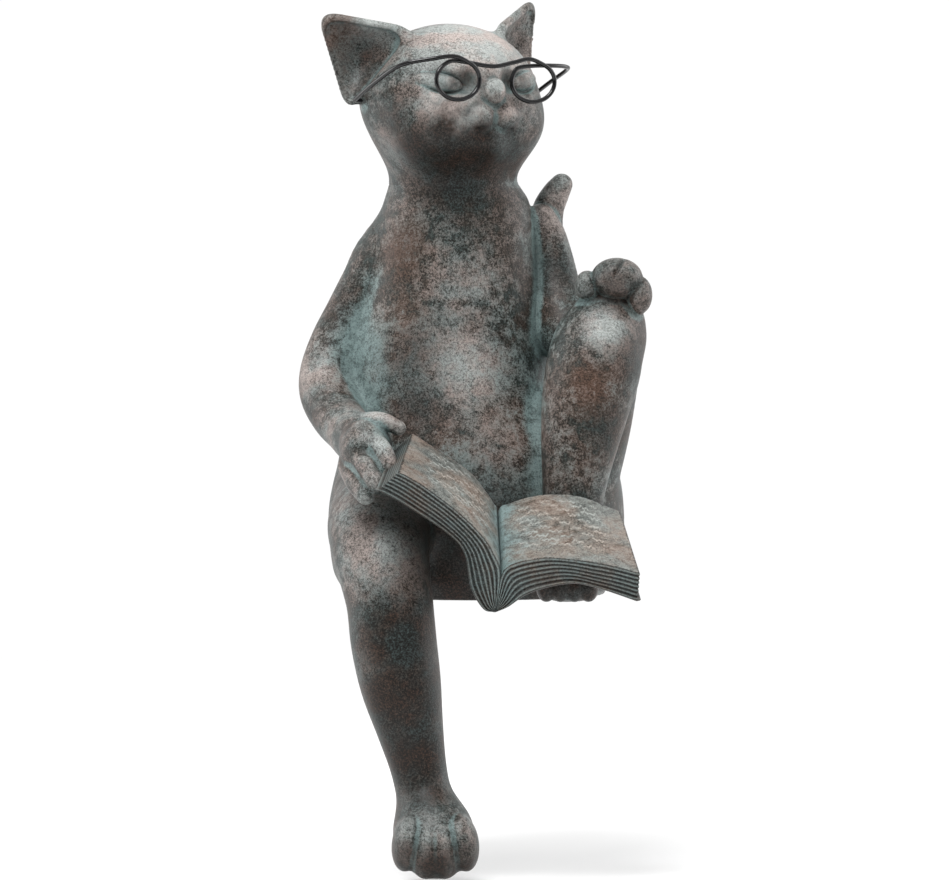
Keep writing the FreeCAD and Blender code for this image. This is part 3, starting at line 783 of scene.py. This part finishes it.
# ---- materials ----
class Recipe:
    """A material's nodes, built one call at a time. Lengths in its noises are millimetres."""

    def __init__(self, name):
        self.material = bpy.data.materials.new(name)
        self.material.use_nodes = True
        self.tree = self.material.node_tree
        self.shader = self.tree.nodes["Principled BSDF"]
        self.place = self.add("ShaderNodeTexCoord").outputs["Object"]

    def add(self, kind, inputs=None, **settings):
        node = self.tree.nodes.new(kind)
        for key, value in settings.items():
            setattr(node, key, value)
        for key, value in (inputs or {}).items():
            self.set(node.inputs[key], value)
        return node

    def set(self, socket, value):
        if isinstance(value, bpy.types.NodeSocket):
            self.tree.links.new(value, socket)
        else:
            socket.default_value = value

    def noise(self, size, detail=3.0, roughness=0.55, stretch=(1, 1, 1)):
        place = self.add("ShaderNodeVectorMath", {0: self.place, 1: stretch},
                         operation="MULTIPLY").outputs[0]
        node = self.add("ShaderNodeTexNoise", {"Vector": place, "Scale": 1.0 / (size * MM),
                                               "Detail": detail, "Roughness": roughness})
        return node.outputs["Fac"]

    def fit(self, value, low, high, out_low=0.0, out_high=1.0):
        node = self.add("ShaderNodeMapRange", {"Value": value, "From Min": low, "From Max": high,
                                               "To Min": out_low, "To Max": out_high}, clamp=True)
        return node.outputs["Result"]

    def math(self, operation, *values):
        node = self.add("ShaderNodeMath", dict(enumerate(values)), operation=operation)
        return node.outputs[0]

    def mix(self, factor, a, b):
        colours = [(*c, 1) if isinstance(c, tuple) else c for c in (a, b)]
        node = self.add("ShaderNodeMix", {0: factor, 6: colours[0], 7: colours[1]}, data_type="RGBA")
        return node.outputs[2]

    def mask(self, name):
        return self.add("ShaderNodeAttribute", attribute_name=name).outputs["Fac"]

    def bump(self, height, distance, strength=1.0):
        node = self.add("ShaderNodeBump", {"Height": height, "Distance": distance * MM,
                                           "Strength": strength})
        self.set(self.shader.inputs["Normal"], node.outputs["Normal"])


BLOTCH_STRENGTH = 2.1
SPECK_STRENGTH = 1.7


def patina(name, dark, brown, slate, pink, pale, rust, green, grain):
    """Dark metal-look paint with verdigris in the hollows, rust stains, pale rubbed heights that carry
    painted highlights too, and painted shade.
    """
    recipe = Recipe(name)
    speck = recipe.noise(grain, 4.0, 0.7)
    grit = recipe.noise(grain * 0.45, 2.0, 0.6)
    blotch = recipe.noise(grain * 4.5, 5.0, 0.65)
    drift = recipe.noise(22.0, 3.0, 0.5)
    hue = recipe.fit(recipe.noise(13.0, 4.0, 0.6), 0.42, 0.58)
    peppered = recipe.math("ADD", recipe.math("MULTIPLY", speck, 0.6), recipe.math("MULTIPLY", grit, 0.4))
    ground = recipe.mix(recipe.fit(peppered, 0.4, 0.62), dark, recipe.mix(hue, brown, slate))

    def cover(mask, low, high):
        """A painted mask, broken up by blotches and specks."""
        blotches = recipe.math("MULTIPLY", recipe.math("SUBTRACT", blotch, 0.5), BLOTCH_STRENGTH)
        specks = recipe.math("MULTIPLY", recipe.math("SUBTRACT", peppered, 0.5), SPECK_STRENGTH)
        return recipe.fit(recipe.math("ADD", recipe.math("ADD", mask, blotches), specks), low, high)

    stained = recipe.mix(cover(recipe.mask("rust"), 0.1, 1.0), ground, rust)
    # Pale paint on the heights, partly rubbed wear and partly painted highlights.
    drifted = recipe.math("ADD", recipe.mask("wear_and_highlight"), recipe.math("SUBTRACT", drift, 0.5))
    rubbed_and_highlit = recipe.mix(cover(drifted, 0.0, 1.2), stained, recipe.mix(hue, pink, pale))
    green_edge = recipe.math("ADD", recipe.mask("hollow"),
                             recipe.math("MULTIPLY", recipe.math("SUBTRACT", drift, 0.55), 1.6))
    mould = recipe.mix(recipe.fit(blotch, 0.38, 0.62), tuple(0.45 * c for c in green), green)
    greened = recipe.mix(recipe.math("MULTIPLY", cover(green_edge, 0.1, 1.2), 0.92), rubbed_and_highlit, mould)
    # Painted shade: where the shade mask is strong the colour goes to gloom, near-black with rust and
    # verdigris flecks.
    flecks = recipe.mix(hue, tuple(0.45 * c for c in rust), tuple(0.18 * c for c in green))
    gloom = recipe.mix(recipe.fit(peppered, 0.46, 0.64), tuple(0.5 * c for c in dark), flecks)
    grained = recipe.mix(recipe.fit(peppered, 0.36, 0.56, 0.75, 0.0), greened, dark)
    darkness = recipe.math("MULTIPLY", cover(recipe.mask("shade"), 0.1, 1.3), 0.97)
    shaded = recipe.mix(darkness, grained, gloom)
    recipe.set(recipe.shader.inputs["Base Color"], shaded)
    recipe.set(recipe.shader.inputs["Roughness"], recipe.fit(peppered, 0.35, 0.65, 0.3, 0.5))
    recipe.shader.inputs["Specular IOR Level"].default_value = 0.22
    recipe.bump(recipe.math("ADD", peppered, recipe.math("MULTIPLY", blotch, 0.7)), 0.35, 0.5)
    return recipe.material


LACQUER = (0.004, 0.004, 0.0045)
WORN_LACQUER = (0.012, 0.012, 0.013)
FELT = (0.006, 0.006, 0.006)
FELT_FUZZ = (0.03, 0.03, 0.032)


def wire_paint():
    recipe = Recipe("black_wire")
    scuff = recipe.noise(2.0, 3.0, 0.6, (1, 1, 3))
    colour = recipe.mix(recipe.fit(scuff, 0.5, 0.8), LACQUER, WORN_LACQUER)
    recipe.set(recipe.shader.inputs["Base Color"], colour)
    recipe.set(recipe.shader.inputs["Roughness"], recipe.fit(scuff, 0.3, 0.7, 0.1, 0.17))
    recipe.shader.inputs["Specular IOR Level"].default_value = 0.4
    recipe.bump(scuff, 0.03, 0.2)
    return recipe.material


def felt():
    recipe = Recipe("black_felt")
    fibre = recipe.noise(0.5, 5.0, 0.8, (1, 1, 0.4))
    colour = recipe.mix(recipe.fit(fibre, 0.35, 0.65), FELT, FELT_FUZZ)
    recipe.set(recipe.shader.inputs["Base Color"], colour)
    recipe.shader.inputs["Roughness"].default_value = 0.95
    recipe.shader.inputs["Sheen Weight"].default_value = 0.3
    recipe.bump(fibre, 0.3)
    return recipe.material


FIGURE_COLOURS = dict(dark=(0.01, 0.0085, 0.0065), brown=(0.088, 0.068, 0.056), slate=(0.058, 0.078, 0.075),
                      pink=(0.47, 0.405, 0.375), pale=(0.40, 0.425, 0.41), rust=(0.13, 0.072, 0.05),
                      green=(0.25, 0.345, 0.34))
BOOK_COLOURS = dict(dark=(0.016, 0.013, 0.01), brown=(0.15, 0.115, 0.088), slate=(0.115, 0.135, 0.128),
                    pink=(0.42, 0.375, 0.33), pale=(0.38, 0.40, 0.375), rust=(0.13, 0.082, 0.058),
                    green=(0.27, 0.375, 0.375))

figure_patina = patina("figure_patina", grain=0.75, **FIGURE_COLOURS)
book_patina = patina("book_patina", grain=0.6, **BOOK_COLOURS)
for name in CASTINGS:
    cast(name, figure_patina)
bind_book(book_patina)
bend_spectacles(wire_paint())
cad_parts["seat_pad"].data.materials.clear()
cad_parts["seat_pad"].data.materials.append(felt())


# ---- stage ----
FLOOR_Z = -93.0
FLOOR_HALF = 900.0
FLOOR_COLOUR = (0.8, 0.8, 0.8, 1)
CAMERA_DISTANCE = 3.0
CAMERA_ELEVATION = math.radians(3.0)
CAMERA_TARGET = Vector((0.0, 0.0, 0.052))
# The width that the camera sees at its target, and the width of its sensor in millimetres.
CAMERA_FRAME = 0.32395
SENSOR_WIDTH = 36.0
STUDIO_STRENGTH = 1.02
STUDIO_GLOOM = 0.06
# Each light's name, place, target, size and power.
LIGHTS = [
    ("top_softbox", (-0.2, -0.5, 1.0), (0, -0.02, 0.1), 0.5, 11),
    ("left_softbox", (-1.0, 0.25, 0.3), (0, 0, 0.05), 0.7, 4.5),
    ("right_softbox", (1.0, 0.3, 0.35), (0, 0, 0.08), 0.7, 4.5),
]


def build_world():
    """A white studio that is darker low down in front of the figure, where the camera stands."""
    world = bpy.data.worlds.new("studio")
    bpy.context.scene.world = world
    world.use_nodes = True
    nodes, links = world.node_tree.nodes, world.node_tree.links
    axes = nodes.new("ShaderNodeSeparateXYZ")
    links.new(nodes.new("ShaderNodeTexCoord").outputs["Generated"], axes.inputs[0])
    factors = []
    for axis, limits in (("Y", (-0.15, -0.85)), ("Z", (0.75, 0.05))):
        fit = nodes.new("ShaderNodeMapRange")
        fit.inputs["From Min"].default_value, fit.inputs["From Max"].default_value = limits
        links.new(axes.outputs[axis], fit.inputs["Value"])
        factors.append(fit.outputs["Result"])
    both = nodes.new("ShaderNodeMath")
    both.operation = "MULTIPLY"
    strength = nodes.new("ShaderNodeMapRange")
    strength.inputs["To Min"].default_value = STUDIO_STRENGTH
    strength.inputs["To Max"].default_value = STUDIO_GLOOM
    for i in (0, 1):
        links.new(factors[i], both.inputs[i])
    links.new(both.outputs[0], strength.inputs["Value"])
    links.new(strength.outputs["Result"], nodes["Background"].inputs["Strength"])
    nodes["Background"].inputs["Color"].default_value = (1, 1, 1, 1)
    bpy.context.scene.view_settings.view_transform = "Standard"


def lay_floor():
    corners = np.array([[-1, -1], [1, -1], [1, 1], [-1, 1]]) * FLOOR_HALF
    floor = mesh_object("floor", np.column_stack([corners, np.full(4, FLOOR_Z)]), [[0, 1, 2, 3]])
    recipe = Recipe("pale_floor")
    recipe.shader.inputs["Base Color"].default_value = FLOOR_COLOUR
    recipe.shader.inputs["Roughness"].default_value = 0.8
    floor.data.materials.append(recipe.material)


def add_area_light(name, place, target, size, power):
    """A square soft light that points at its target."""
    light = bpy.data.lights.new(name, "AREA")
    light.size = size
    light.energy = power
    lamp = bpy.data.objects.new(name, light)
    lamp.location = place
    lamp.rotation_euler = (Vector(target) - Vector(place)).to_track_quat("-Z", "Y").to_euler()
    bpy.context.collection.objects.link(lamp)


def build_camera():
    camera = bpy.data.cameras.new("camera")
    camera.sensor_width = SENSOR_WIDTH
    view = bpy.data.objects.new("camera", camera)
    offset = Vector((0.0, -math.cos(CAMERA_ELEVATION), math.sin(CAMERA_ELEVATION))) * CAMERA_DISTANCE
    view.location = CAMERA_TARGET + offset
    view.rotation_euler = (-offset).to_track_quat("-Z", "Y").to_euler()
    camera.lens = camera.sensor_width * CAMERA_DISTANCE / CAMERA_FRAME
    bpy.context.collection.objects.link(view)
    bpy.context.scene.camera = view


build_world()
lay_floor()
build_camera()
for light_settings in LIGHTS:
    add_area_light(*light_settings)
